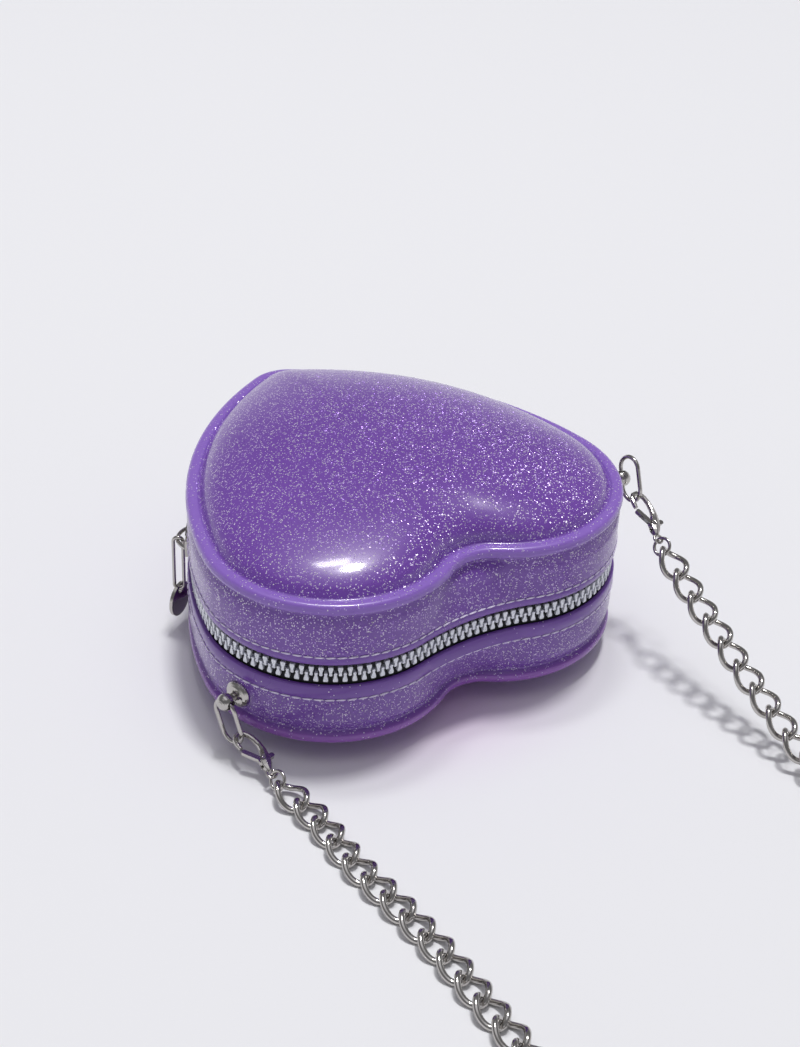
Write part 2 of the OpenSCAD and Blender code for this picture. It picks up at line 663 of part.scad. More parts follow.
module clasp() {
    n = len(hook_share);
    difference() {
        union() {
            skin([for (i = [0:n - 1]) let (p = hook_point(i), s = hook_share[i] * hook_wire,
                t = unit(hook_point(min(i + 1, n - 1)) - hook_point(max(i - 1, 0))))
                [for (k = [0:hook_sides - 1]) let (a = -360 * k / hook_sides)
                    [p.x - t.y * s[2] * cos(a), p.y + t.x * s[2] * cos(a), s[3] * sin(a)]]]);
            translate([clasp_len - eye_r - eye_wire / 2, 0, 0]) rotate_extrude($fn = 48)
                translate([eye_r, 0]) circle(d = eye_wire, $fn = 24);
        }
        translate([slot_x[0], -clasp_len / 2, -slot_half])
            cube([slot_x[1] - slot_x[0], clasp_len / 2 + hub_r, 2 * slot_half]);
        translate([pin_at.x - nub_half, 0, -slot_half]) cube([2 * nub_half, clasp_len / 2, 2 * slot_half]);
        translate([pin_at.x, pin_at.y, 0])
            cylinder(d = clasp_pin_d + pin_fit, h = pin_len + 2 * over, center = true, $fn = 32);
    }
}

// Lever: a round hub with a long arm that shuts the hook and a short arm
// with the thumb nub, drawn as one outline
lever_tip = clasp_len * [0.38, -0.124];
nub_at = clasp_len * [0.619, 0.195];
tip_half = hook_wire * 0.42;
arm_root = hub_r * 0.55;
arm_steps = 8;
hub_steps = 10;
root_deg = asin(arm_root / hub_r);
tip_deg = 360 + atan2(lever_tip.y - pin_at.y, lever_tip.x - pin_at.x);
nub_deg = atan2(nub_at.y - pin_at.y, nub_at.x - pin_at.x);
function fan(c, r, a0, a1, steps) =
    [for (i = [0:steps]) let (a = a0 + (a1 - a0) * i / steps) c + r * [cos(a), sin(a)]];
lever_outline = concat(
    fan(nub_at, tip_half, nub_deg - 90, nub_deg + 90, arm_steps),
    fan(pin_at, hub_r, nub_deg + root_deg, tip_deg - root_deg, hub_steps),
    fan(lever_tip, tip_half, tip_deg - 90, tip_deg + 90, arm_steps),
    fan(pin_at, hub_r, tip_deg + root_deg, 360 + nub_deg - root_deg, hub_steps));
module clasp_lever() {
    difference() {
        translate([0, 0, -lever_t / 2]) linear_extrude(lever_t) polygon(lever_outline);
        translate([pin_at.x, pin_at.y, 0])
            cylinder(d = clasp_pin_d + 2 * pin_fit, h = lever_t + over, center = true, $fn = 32);
    }
}
coil_r = (slot_x[1] - pin_at.x - hub_r) / 2 - slot_fit / 2;

module left_clasp() {
    color(nickel) clasp_place(left_clasp_at) clasp();
}

module right_clasp() {
    color(nickel) clasp_place(right_clasp_at) clasp();
}

module left_clasp_lever() {
    color(nickel) clasp_place(left_clasp_at) clasp_lever();
}

module right_clasp_lever() {
    color(nickel) clasp_place(right_clasp_at) clasp_lever();
}

module clasp_pins() {
    color(nickel) for (f = [left_clasp_at, right_clasp_at]) clasp_place(f)
        translate([pin_at.x, pin_at.y, 0]) cylinder(d = clasp_pin_d, h = pin_len, center = true, $fn = 32);
}

// Small coil that presses the lever shut, inside the clasp's body
module clasp_springs() {
    color(nickel) for (f = [left_clasp_at, right_clasp_at]) clasp_place(f)
        translate([slot_x[1] - coil_r - slot_fit / 2, 0, 0]) linear_extrude(lever_t, center = true)
            difference() {
                circle(r = coil_r, $fn = 32);
                circle(r = coil_r / 2, $fn = 32);
            }
}

// Round rings between the clasps' eyes and the chain
link_fit = 0.15;
end_ring_r = end_ring_d / 2;
end_ring_at = clasp_len - eye_wire - link_fit - end_ring_wire / 2 + end_ring_r;
first_link_at = end_ring_at + end_ring_r - end_ring_wire / 2 - link_fit * 2 - link_wire / 2 + link_len / 2;
end_ring_roll = -25;
module end_ring(f) {
    clasp_place(f) translate([end_ring_at, 0, 0]) rotate([end_ring_roll, 0, 0]) rotate([90, 0, 0])
        rotate_extrude($fn = 48) translate([end_ring_r, 0]) circle(d = end_ring_wire, $fn = 24);
}

module left_end_ring() {
    color(nickel) end_ring(left_clasp_at);
}

module right_end_ring() {
    color(nickel) end_ring(right_clasp_at);
}

// Chain. The route runs from the left clasp forward over the surface, into
// three folds and back up to the right clasp
left_clasp_end = left_clasp_at[0] + clasp_len * left_clasp_at[1];
right_clasp_end = right_clasp_at[0] + clasp_len * right_clasp_at[1];
chain_z = 2.3;
route = [left_clasp_end, [-64, -67, 3.1], [-62.6, -75, 2.6],
    [-62, -83, chain_z], [-62, -98, chain_z], [-60, -118, chain_z], [-59, -137, chain_z],
    [-59, -155, chain_z], [-59, -172, chain_z], [-59, -200, chain_z], [-57, -228, chain_z],
    [-48, -254, chain_z], [-30, -273, chain_z], [-5, -284, chain_z], [20, -287, chain_z],
    [50, -287, chain_z], [80, -287, chain_z], [104, -287, chain_z], [116, -282, chain_z],
    [122, -269, chain_z], [122, -240, chain_z], [122, -210, chain_z], [122, -185, chain_z],
    [122, -163, chain_z], [117, -150, chain_z], [104, -145, chain_z], [91, -150, chain_z],
    [86, -163, chain_z], [86, -190, chain_z], [86, -220, chain_z], [86, -248, chain_z],
    [81, -261, chain_z], [68, -266, chain_z], [55, -261, chain_z], [50, -248, chain_z],
    [50, -220, chain_z], [52, -197, chain_z], [57, -180, chain_z], [63, -165, chain_z],
    [67, -151, 2.6], [69, -138, 3.6], [69, -125, 6.2], [68.6, -111, 11.5], [68, -97, 17.7],
    [67.8, -84, 23.7], [67.8, -71, 29.6], right_clasp_end];

// Smooth curve through the route, sampled, with its length along the way
route_steps = 6;
route_n = len(route);
function knot(i) = route[max(0, min(i, route_n - 1))];
function curve(i, u) = let (a = knot(i - 1), b = knot(i), c = knot(i + 1), d = knot(i + 2))
    (2 * b + (c - a) * u + (2 * a - 5 * b + 4 * c - d) * u * u + (3 * b - a - 3 * c + d) * u * u * u) / 2;
samples = [for (i = [0:route_n - 2], j = [0:route_steps - 1]) curve(i, j / route_steps), knot(route_n - 1)];
lengths = [for (i = 0, s = 0; i < len(samples);
    s = s + (i + 1 < len(samples) ? norm(samples[i + 1] - samples[i]) : 0), i = i + 1) s];
strap_len = lengths[len(lengths) - 1];
table_x = [for (i = [0:len(samples) - 1]) [lengths[i], samples[i].x]];
table_y = [for (i = [0:len(samples) - 1]) [lengths[i], samples[i].y]];
table_z = [for (i = [0:len(samples) - 1]) [lengths[i], samples[i].z]];
function along_route(s) = [lookup(s, table_x), lookup(s, table_y), lookup(s, table_z)];

// Lengths along the route at which the links lie
lead = first_link_at - clasp_len;
left_links = 14;
right_links = 11;
fold_len = strap_len - 2 * lead - (left_links + right_links - 2) * link_pitch;
fold_links = round(fold_len / slack_pitch) - 1;
fold_pitch = fold_len / (fold_links + 1);
function left_s(i) = lead + i * link_pitch;
function right_s(i) = strap_len - lead - i * link_pitch;
function fold_s(i) = left_s(left_links - 1) + (i + 1) * fold_pitch;

// Twisted oval link: its middle line, turned about its length as the ends
// of a curb link are, swept with a square section
link_steps = 8;
section_share = 0.86;
link_round = 1 / cos(180 / link_steps);
function link_line(a) = let (f = link_twist * cos(a), w = link_round * link_w / 2 * sin(a))
    [link_round * link_len / 2 * cos(a), w * cos(f), w * sin(f)];
link_rings = [for (i = [0:link_steps - 1]) let (a = 360 * (i + 0.5) / link_steps, p = link_line(a),
    t = unit(link_line(a + 5) - link_line(a - 5)), o = unit(p - (p * t) * t), b = cross(t, o))
    [for (k = [[1, 1], [-1, 1], [-1, -1], [1, -1]]) p + (o * k[0] + b * k[1]) * link_wire / 2 * section_share]];
link_points = [for (r = link_rings) each r];
link_faces = [for (i = [0:link_steps - 1], k = [0:3])
    let (a = i * 4 + k, b = i * 4 + (k + 1) % 4, j = (i + 1) % link_steps, c = j * 4 + (k + 1) % 4, d = j * 4 + k)
    each [[a, c, b], [a, d, c]]];
module link(s) {
    t = unit(along_route(s + link_pitch / 2) - along_route(s - link_pitch / 2));
    side = unit(cross([0, 0, 1], t));
    up = cross(t, side);
    c = along_route(s);
    polyhedron([for (p = link_points) c + p.x * t + p.y * side + p.z * up], link_faces);
}

module chain_left_run() {
    color(nickel) for (i = [0:left_links - 1]) link(left_s(i));
}

module chain_right_run() {
    color(nickel) for (i = [0:right_links - 1]) link(right_s(i));
}

module chain_hank() {
    color(nickel) for (i = [0:fold_links - 1]) link(fold_s(i));
}

rear_shell();
front_shell();
hinge_strip();
rear_tape();
front_tape();
rear_teeth();
front_teeth();
rear_zip_end();
front_zip_end();
zip_bottom_stop();
zip_slider();
zip_pull_link();
zip_charm();
left_stud();
left_stud_washer();
left_stud_screw();
right_stud();
right_stud_washer();
right_stud_screw();
left_ring();
right_ring();
left_clasp();
right_clasp();
left_clasp_lever();
right_clasp_lever();
clasp_pins();
clasp_springs();
left_end_ring();
right_end_ring();
chain_left_run();
chain_right_run();
chain_hank();
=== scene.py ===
# Heart shaped shoulder purse in glittery purple plastic, lying on its rear
# shell with its chain strap laid out in front of it.
import bpy
import bmesh
import math
from mathutils import Matrix, Vector


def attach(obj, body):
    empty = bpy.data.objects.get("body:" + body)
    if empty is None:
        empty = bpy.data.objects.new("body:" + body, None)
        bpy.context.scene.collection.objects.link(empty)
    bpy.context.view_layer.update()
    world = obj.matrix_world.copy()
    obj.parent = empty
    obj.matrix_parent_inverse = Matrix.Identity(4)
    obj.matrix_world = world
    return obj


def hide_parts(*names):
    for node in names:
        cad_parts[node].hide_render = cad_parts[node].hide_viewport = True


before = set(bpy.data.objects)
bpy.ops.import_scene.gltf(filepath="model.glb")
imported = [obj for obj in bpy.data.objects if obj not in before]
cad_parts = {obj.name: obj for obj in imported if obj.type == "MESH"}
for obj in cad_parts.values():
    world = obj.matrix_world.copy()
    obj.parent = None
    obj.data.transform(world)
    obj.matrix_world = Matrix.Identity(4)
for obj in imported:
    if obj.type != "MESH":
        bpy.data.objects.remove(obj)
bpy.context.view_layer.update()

# Camera, above the left lobe and turned a little on its own axis, as the
# photograph was taken
camera_data = bpy.data.cameras.new("camera")
camera_data.sensor_fit = "HORIZONTAL"
camera_data.sensor_width = 36
camera_data.lens = 85.1
camera_data.clip_start = 0.01
camera = bpy.data.objects.new("camera", camera_data)
camera.location = (-0.2564, -0.40356, 0.35305)
camera.rotation_euler = [math.radians(a) for a in (56.142, -2.417, -31.972)]
bpy.context.collection.objects.link(camera)
bpy.context.scene.camera = camera

# Strap chain: a curb chain of twisted steel links, nickel plated. It runs
# from clasp to clasp, forward over the floor and into folds that lie beside
# the runs. The route's points are in millimetres.
strap_route = [(-65.2, -60.5, 4.5), (-64, -67, 3.1), (-62.6, -75, 2.6), (-62, -83, 2.3),
    (-62, -98, 2.3), (-60, -118, 2.3), (-59, -137, 2.3), (-59, -155, 2.3), (-59, -172, 2.3),
    (-59, -200, 2.3), (-57, -228, 2.3), (-48, -254, 2.3), (-30, -273, 2.3), (-5, -284, 2.3),
    (20, -287, 2.3), (50, -287, 2.3), (80, -287, 2.3), (104, -287, 2.3), (116, -282, 2.3),
    (122, -269, 2.3), (122, -240, 2.3), (122, -210, 2.3), (122, -185, 2.3), (122, -163, 2.3),
    (117, -150, 2.3), (104, -145, 2.3), (91, -150, 2.3), (86, -163, 2.3), (86, -190, 2.3),
    (86, -220, 2.3), (86, -248, 2.3), (81, -261, 2.3), (68, -266, 2.3), (55, -261, 2.3),
    (50, -248, 2.3), (50, -220, 2.3), (52, -197, 2.3), (57, -180, 2.3), (63, -165, 2.3),
    (67, -151, 2.6), (69, -138, 3.6), (69, -125, 6.2), (68.6, -111, 11.5), (68, -97, 17.7),
    (67.8, -84, 23.7), (67.8, -71, 29.6), (68.2, -56.3, 36.2)]
up = Vector((0, 0, 1))


def smooth_line(knots, steps):
    # A curve through the knots, with so many steps from each to the next
    padded = [knots[0]] + knots + [knots[-1]]
    points = []
    for a, b, c, d in zip(padded, padded[1:], padded[2:], padded[3:]):
        for j in range(steps):
            u = j / steps
            points.append((2 * b + (c - a) * u + (2 * a - 5 * b + 4 * c - d) * u * u
                + (3 * b - a - 3 * c + d) * u ** 3) / 2)
    return points + [knots[-1]]


def line_length(points):
    return sum((b - a).length for a, b in zip(points, points[1:]))


def along(points, s):
    # The point that lies s along a line
    for a, b in zip(points, points[1:]):
        step = (b - a).length
        if s <= step:
            return a.lerp(b, s / step)
        s -= step
    return points[-1]


def heading(points, s, reach):
    # The way that a line takes about the point that lies s along it
    return (along(points, s + reach) - along(points, s - reach)).normalized()


def set_out(source, place, axes):
    # A copy of an object, turned to three axes and moved to a place. The axes
    # are a right handed set, so that its faces stay outwards.
    copy = source.copy()
    copy.data = source.data.copy()
    bpy.context.collection.objects.link(copy)
    copy.data.transform(Matrix.Translation(place) @ Matrix(axes).transposed().to_4x4())
    return copy


def join(name, source, copies):
    # The copies as one piece, without the object that they were made from
    bpy.data.objects.remove(source)
    bpy.ops.object.select_all(action="DESELECT")
    for copy in copies:
        copy.select_set(True)
    bpy.context.view_layer.objects.active = copies[0]
    bpy.ops.object.join()
    bpy.context.object.name = name
    return bpy.context.object


strap_points = smooth_line([Vector(p) / 1000 for p in strap_route], 6)
strap_length = line_length(strap_points)
link_long, link_wide, link_wire, link_twist = 0.0105, 0.0074, 0.00184, math.radians(50)
link_pitch, slack_pitch, lead = 0.0082, 0.00785, 0.00697
left_links, right_links = 14, 11
fold_start = lead + (left_links - 1) * link_pitch
fold_length = strap_length - fold_start - lead - (right_links - 1) * link_pitch
fold_links = round(fold_length / slack_pitch) - 1
fold_pitch = fold_length / (fold_links + 1)
stations = ([lead + i * link_pitch for i in range(left_links)]
    + [fold_start + (i + 1) * fold_pitch for i in range(fold_links)]
    + [strap_length - lead - i * link_pitch for i in range(right_links)])

# One link is an oval ring whose two ends are twisted against each other
bpy.ops.object.select_all(action="DESELECT")
bpy.ops.mesh.primitive_torus_add(major_segments=36, minor_segments=12,
    major_radius=link_long / 2, minor_radius=link_wire / 2)
link = bpy.context.object
for v in link.data.vertices:
    a = math.atan2(v.co.y, v.co.x)
    out = math.hypot(v.co.x, v.co.y) - link_long / 2
    middle = Vector((link_long * math.cos(a), link_wide * math.sin(a), 0)) / 2
    across = Vector((link_wide * math.cos(a), link_long * math.sin(a), 0)).normalized()
    flat_point = middle + across * out + Vector((0, 0, v.co.z))
    v.co = Matrix.Rotation(link_twist * math.cos(a), 3, "X") @ flat_point
links = []
for s in stations:
    ahead = heading(strap_points, s, link_pitch / 2)
    side = up.cross(ahead).normalized()
    links.append(set_out(link, along(strap_points, s), (ahead, side, ahead.cross(side))))
strap = join("strap_chain", link, links)
bpy.ops.object.shade_smooth()


def node_group(name, inputs, outputs):
    # An empty group with number sockets, but a vector for a normal
    group = bpy.data.node_groups.new(name, "ShaderNodeTree")
    for label in inputs:
        group.interface.new_socket(name=label, in_out="INPUT", socket_type="NodeSocketFloat")
    for label in outputs:
        kind = "NodeSocketVector" if label == "Normal" else "NodeSocketFloat"
        group.interface.new_socket(name=label, in_out="OUTPUT", socket_type=kind)
    return group, group.nodes.new("NodeGroupInput"), group.nodes.new("NodeGroupOutput")


# Marks of handling on plated metal: cloudy polish and a very fine grain
handling, marks_in, marks_out = node_group("handling marks",
    ("Clouds", "Smooth", "Dull"), ("Roughness", "Grain"))
marks_place = handling.nodes.new("ShaderNodeTexCoord")
clouds = handling.nodes.new("ShaderNodeTexNoise")
clouds.inputs["Detail"].default_value = 4
handling.links.new(marks_place.outputs["Object"], clouds.inputs["Vector"])
handling.links.new(marks_in.outputs["Clouds"], clouds.inputs["Scale"])
polish = handling.nodes.new("ShaderNodeMapRange")
polish.inputs["From Min"].default_value = 0.35
polish.inputs["From Max"].default_value = 0.7
handling.links.new(clouds.outputs["Fac"], polish.inputs["Value"])
handling.links.new(marks_in.outputs["Smooth"], polish.inputs["To Min"])
handling.links.new(marks_in.outputs["Dull"], polish.inputs["To Max"])
handling.links.new(polish.outputs["Result"], marks_out.inputs["Roughness"])
grain = handling.nodes.new("ShaderNodeTexNoise")
grain.inputs["Scale"].default_value = 2600
grain.inputs["Detail"].default_value = 3
handling.links.new(marks_place.outputs["Object"], grain.inputs["Vector"])
handling.links.new(grain.outputs["Fac"], marks_out.inputs["Grain"])


def plated(name, colour, smooth, dull, bump, cloud_scale):
    # Bare metal in one colour, whose gloss goes from smooth to dull in clouds
    metal = bpy.data.materials.new(name)
    metal.use_nodes = True
    nodes, wires = metal.node_tree.nodes, metal.node_tree.links
    bsdf = nodes["Principled BSDF"]
    bsdf.inputs["Base Color"].default_value = colour
    bsdf.inputs["Metallic"].default_value = 1
    marks = nodes.new("ShaderNodeGroup")
    marks.node_tree = handling
    marks.inputs["Clouds"].default_value = cloud_scale
    marks.inputs["Smooth"].default_value = smooth
    marks.inputs["Dull"].default_value = dull
    wires.new(marks.outputs["Roughness"], bsdf.inputs["Roughness"])
    raised = nodes.new("ShaderNodeBump")
    raised.inputs["Strength"].default_value = bump
    raised.inputs["Distance"].default_value = 0.0001
    wires.new(marks.outputs["Grain"], raised.inputs["Height"])
    wires.new(raised.outputs["Normal"], bsdf.inputs["Normal"])
    return metal


nickel = plated("polished nickel plate", colour=(0.5, 0.48, 0.46, 1), smooth=0.05, dull=0.16,
    bump=0.1, cloud_scale=320)

# Lobster clasps: each body is cast in one piece, so its edges are melted
# together and rounded by the polishing
for name in ("left_clasp", "right_clasp"):
    bpy.ops.object.select_all(action="DESELECT")
    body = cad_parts[name].copy()
    body.data = body.data.copy()
    bpy.context.collection.objects.link(body)
    body.name = name + "_body"
    bpy.context.view_layer.objects.active = body
    body.select_set(True)
    melted = body.modifiers.new("melted", "REMESH")
    melted.mode = "VOXEL"
    melted.voxel_size = 0.00012
    bpy.ops.object.modifier_apply(modifier="melted")
    rounded = body.modifiers.new("rounded", "SMOOTH")
    rounded.factor = 0.5
    rounded.iterations = 10
    bpy.ops.object.modifier_apply(modifier="rounded")
    worn = body.modifiers.new("worn", "DISPLACE")
    worn.strength = -0.00007
    worn.mid_level = 0
    bpy.ops.object.modifier_apply(modifier="worn")
    bpy.ops.object.shade_smooth()
    body.data.materials.clear()
    body.data.materials.append(nickel)
    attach(body, "rear")
    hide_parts(name)

# The strap takes the same plating and goes with the rear body, in place of the chain's runs and
# hank; the clasps and small rings hang on its two ends
strap.data.materials.clear()
strap.data.materials.append(nickel)
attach(strap, "rear")
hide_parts("chain_left_run", "chain_hank", "chain_right_run")

# Rear shell: a heart shaped half of moulded plastic, with a raised bead, a
# puffed dome on which the purse lies and a broad smooth lip for the sewing.
# The heart's sizes are in millimetres: two lobes, two flanks, a tip, a cleft.
lobe_r, lobe_x, lobe_y, heart_len, tip_r, flank_r = 38, 28, 25, 74, 13.5, 110
rim_cleft_r, zip_cleft_r = 13.5, 73
wall, dome_inset = 1.8, 4.8
dome_middle, dome_r = Vector((0, -5)), 52.8
lobe_c, tip_c = Vector((lobe_x, -lobe_y)), Vector((0, heart_len - lobe_y))
to_tip = tip_c - lobe_c
share = ((flank_r - lobe_r) ** 2 - (flank_r - tip_r) ** 2) / to_tip.length_squared / 2 + 0.5
aside = math.sqrt((flank_r - lobe_r) ** 2 / to_tip.length_squared - share ** 2)
flank_c = lobe_c + share * to_tip + aside * Vector((-to_tip.y, to_tip.x))
flank_a0 = math.degrees(math.atan2(lobe_c.y - flank_c.y, lobe_c.x - flank_c.x))
flank_a1 = math.degrees(math.atan2(tip_c.y - flank_c.y, tip_c.x - flank_c.x))


def arc(c, r, a0, a1, steps):
    angles = [math.radians(a0 + (a1 - a0) * i / steps) for i in range(steps)]
    return [c + r * Vector((math.cos(a), math.sin(a))) for a in angles]


def cleft(cleft_r):
    # The centre of the cleft's arc and the angle at which it meets a lobe
    drop = math.sqrt((lobe_r + cleft_r) ** 2 - lobe_x ** 2)
    return Vector((0, -lobe_y - drop)), math.degrees(math.atan2(drop, lobe_x))


def full_heart(d, cleft_r):
    # The heart's line moved out by d: right half, tip, left half
    cleft_c, turn = cleft(cleft_r)
    half = arc(cleft_c, cleft_r - d, 90, turn, 9)
    half += arc(lobe_c, lobe_r + d, turn - 180, flank_a0, 54)
    half += arc(flank_c, flank_r + d, flank_a0, flank_a1, 24)
    half += arc(tip_c, tip_r + d, flank_a1, 90, 9)
    return half + [tip_c + Vector((0, tip_r + d))] + [Vector((-p.x, p.y)) for p in half[:0:-1]]


def heart(d, k):
    # Between the zip's heart with its shallow cleft, at 0, and the rim's, at 1
    return [a.lerp(b, k) for a, b in zip(full_heart(d, zip_cleft_r), full_heart(d, rim_cleft_r))]


def dome(u, inset):
    # A ring of the dome, from its heart shaped edge at 0 to its middle at 1,
    # where it gets round
    w = 1 - (1 - u) ** 2
    ring = []
    for p in heart(-inset, 1):
        q = p - dome_middle
        ring.append(dome_middle + (1 - u) * (q * (1 - w) + dome_r * q / q.length * w))
    return ring


def rise(u, flat):
    # The dome's height there, as a share of the whole, with a flat middle
    return 1 if u >= 1 - flat else math.sqrt(1 - (1 - u / (1 - flat)) ** 2.2)


def shell_rings(depth, lip_out, dome_h, flat, last, stitch):
    # Each ring: its points, its height from the lip, its share of flakes and
    # how far it belongs to the clear raised bead. They go from the dome's
    # middle over the bead, down the wall, round the lip and back inside.
    top = depth + 1.19
    rings = []
    for i in range(22, 0, -1):
        u = last * (i / 22) ** 1.6
        rings.append((dome(u, dome_inset), top + dome_h * rise(u, flat), 1, 0))
    for d, z, flake, rim in ((-4.8, 1.16, 1, 0), (-4.55, 0.98, 1, 0), (-4.3, 0.82, 1, 0.1),
            (-4.05, 0.76, 0.8, 0.4), (-3.85, 0.86, 0.5, 0.8), (-3.68, 1.12, 0.3, 0.95),
            (-3.45, 1.36, 0.4, 1), (-3.1, 1.5, 0.4, 1), (-2.6, 1.56, 0.4, 1), (-2.0, 1.58, 0.4, 1),
            (-1.4, 1.55, 0.4, 1), (-0.9, 1.44, 0.4, 1), (-0.5, 1.18, 0.2, 0.95),
            (-0.2, 0.72, 0.2, 0.9), (-0.04, 0.1, 0.2, 0.85), (0, -0.55, 0.2, 0.8),
            (-0.12, -1.15, 0.2, 0.7), (-0.5, -1.6, 0.3, 0.4)):
        rings.append((heart(d, 1), depth + z, flake, rim))
    for d, k, z, flake, rim in ((-1.3, 0.96, -2.05, 0.6, 0.1), (-1.55, 0.92, -2.5, 1, 0),
            (-1.5, 0.86, -3.0, 1, 0), (lip_out - 0.95, 0.79, -3.6, 1, 0),
            (lip_out - 0.55, 0.7, -4.4, 1, 0)):
        rings.append((heart(d, k), depth + z, flake, rim))

    def wall_heart(d, z):
        # Down the wall the heart goes over into the zip's
        return heart(d, 0.7 * (z - 2.1) / (depth - 6.2))

    for t in (0.65, 0.55, 0.45, 0.35, 0.25):
        if t * depth > stitch + 1:
            rings.append((wall_heart(lip_out, t * depth), t * depth, 1, 0))
    groove = lip_out - 0.16
    rings.append((wall_heart(lip_out, stitch + 0.5), stitch + 0.5, 1, 0))
    rings.append((wall_heart(groove, stitch + 0.1), stitch + 0.12, 0.5, 0))
    rings.append((wall_heart(groove, stitch - 0.1), stitch - 0.12, 0.2, 0))
    for d, k, z, flake in ((lip_out, 0, stitch - 0.5, 0.04), (lip_out, 0, 0.35, 0.04),
            (lip_out - 0.3, 0, 0, 0.04), (-1.3, 0, 0, 0.04), (-1.5, 0, 0.25, 0.04),
            (-1.5, 0, 4.2, 0.5), (-1.92, 0.35, depth / 2, 1), (-2.1, 0.7, depth - 4.08, 1),
            (-5.58, 1, depth - 2.04, 1), (-dome_inset - wall, 1, top - wall, 1)):
        rings.append((heart(d, k), z, flake, 0))
    for i in range(1, 13):
        u = last * (i / 12) ** 1.6
        rings.append((dome(u, dome_inset + wall), top - wall + dome_h * rise(u, flat), 1, 0))
    return rings


def skin(name, rings, lip_z, way):
    # One shell, drawn out ring by ring from its lip's height up or down
    bpy.ops.object.select_all(action="DESELECT")
    bpy.ops.mesh.primitive_circle_add(vertices=len(rings[0][0]), radius=0.06, fill_type="NGON")
    piece = bpy.context.object
    piece.name = name
    bpy.ops.object.mode_set(mode="EDIT")
    bpy.ops.mesh.select_mode(type="EDGE")
    mesh = bmesh.from_edit_mesh(piece.data)
    flaked = mesh.verts.layers.float.new("flaked")
    beaded = mesh.verts.layers.float.new("beaded")
    for n, (ring, z, flake, rim) in enumerate(rings):
        if n:
            bpy.ops.mesh.extrude_edges_move()
        newest = [v for v in mesh.verts if v.select]
        for v, p in zip(newest, ring):
            v.co = Vector((p.x, p.y, lip_z + way * z)) / 1000
            v[flaked] = flake
            v[beaded] = rim
        bmesh.update_edit_mesh(piece.data)
    bpy.ops.mesh.edge_face_add()
    bpy.ops.mesh.select_all(action="SELECT")
    bpy.ops.mesh.normals_make_consistent(inside=False)
    bpy.ops.object.mode_set(mode="OBJECT")
    bpy.ops.object.shade_smooth_by_angle(angle=math.radians(50))
    return piece


rear_shell = skin("rear_half",
    shell_rings(depth=18.9, lip_out=-0.1, dome_h=7.31, flat=0.55, last=0.47, stitch=4.6),
    lip_z=27.4, way=-1)

# Silver flakes set in the plastic: a mask of small round chips, the tone of
# each chip and a normal that tips each its own way
flakes, group_in, group_out = node_group("silver flakes",
    ("Chips per metre", "Share of chips", "Chip radius", "Tip"), ("Chip", "Tone", "Normal"))
place = flakes.nodes.new("ShaderNodeTexCoord")
cells = flakes.nodes.new("ShaderNodeTexVoronoi")
flakes.links.new(place.outputs["Object"], cells.inputs["Vector"])
flakes.links.new(group_in.outputs["Chips per metre"], cells.inputs["Scale"])
split = flakes.nodes.new("ShaderNodeSeparateColor")
flakes.links.new(cells.outputs["Color"], split.inputs["Color"])
chosen = flakes.nodes.new("ShaderNodeMath")
chosen.operation = "LESS_THAN"
flakes.links.new(split.outputs["Red"], chosen.inputs[0])
flakes.links.new(group_in.outputs["Share of chips"], chosen.inputs[1])
near = flakes.nodes.new("ShaderNodeMath")
near.operation = "LESS_THAN"
flakes.links.new(cells.outputs["Distance"], near.inputs[0])
flakes.links.new(group_in.outputs["Chip radius"], near.inputs[1])
chip_here = flakes.nodes.new("ShaderNodeMath")
chip_here.operation = "MULTIPLY"
flakes.links.new(chosen.outputs[0], chip_here.inputs[0])
flakes.links.new(near.outputs[0], chip_here.inputs[1])
flakes.links.new(chip_here.outputs[0], group_out.inputs["Chip"])
flakes.links.new(split.outputs["Green"], group_out.inputs["Tone"])
tip = flakes.nodes.new("ShaderNodeVectorMath")
tip.operation = "SUBTRACT"
tip.inputs[1].default_value = (0.5, 0.5, 0.5)
flakes.links.new(cells.outputs["Color"], tip.inputs[0])
tip_share = flakes.nodes.new("ShaderNodeMath")
tip_share.operation = "MULTIPLY"
flakes.links.new(group_in.outputs["Tip"], tip_share.inputs[0])
flakes.links.new(chip_here.outputs[0], tip_share.inputs[1])
tip_much = flakes.nodes.new("ShaderNodeVectorMath")
tip_much.operation = "SCALE"
flakes.links.new(tip.outputs[0], tip_much.inputs[0])
flakes.links.new(tip_share.outputs[0], tip_much.inputs["Scale"])
surface = flakes.nodes.new("ShaderNodeNewGeometry")
tipped = flakes.nodes.new("ShaderNodeVectorMath")
tipped.operation = "ADD"
flakes.links.new(surface.outputs["Normal"], tipped.inputs[0])
flakes.links.new(tip_much.outputs[0], tipped.inputs[1])
even = flakes.nodes.new("ShaderNodeVectorMath")
even.operation = "NORMALIZE"
flakes.links.new(tipped.outputs[0], even.inputs[0])
flakes.links.new(even.outputs[0], group_out.inputs["Normal"])


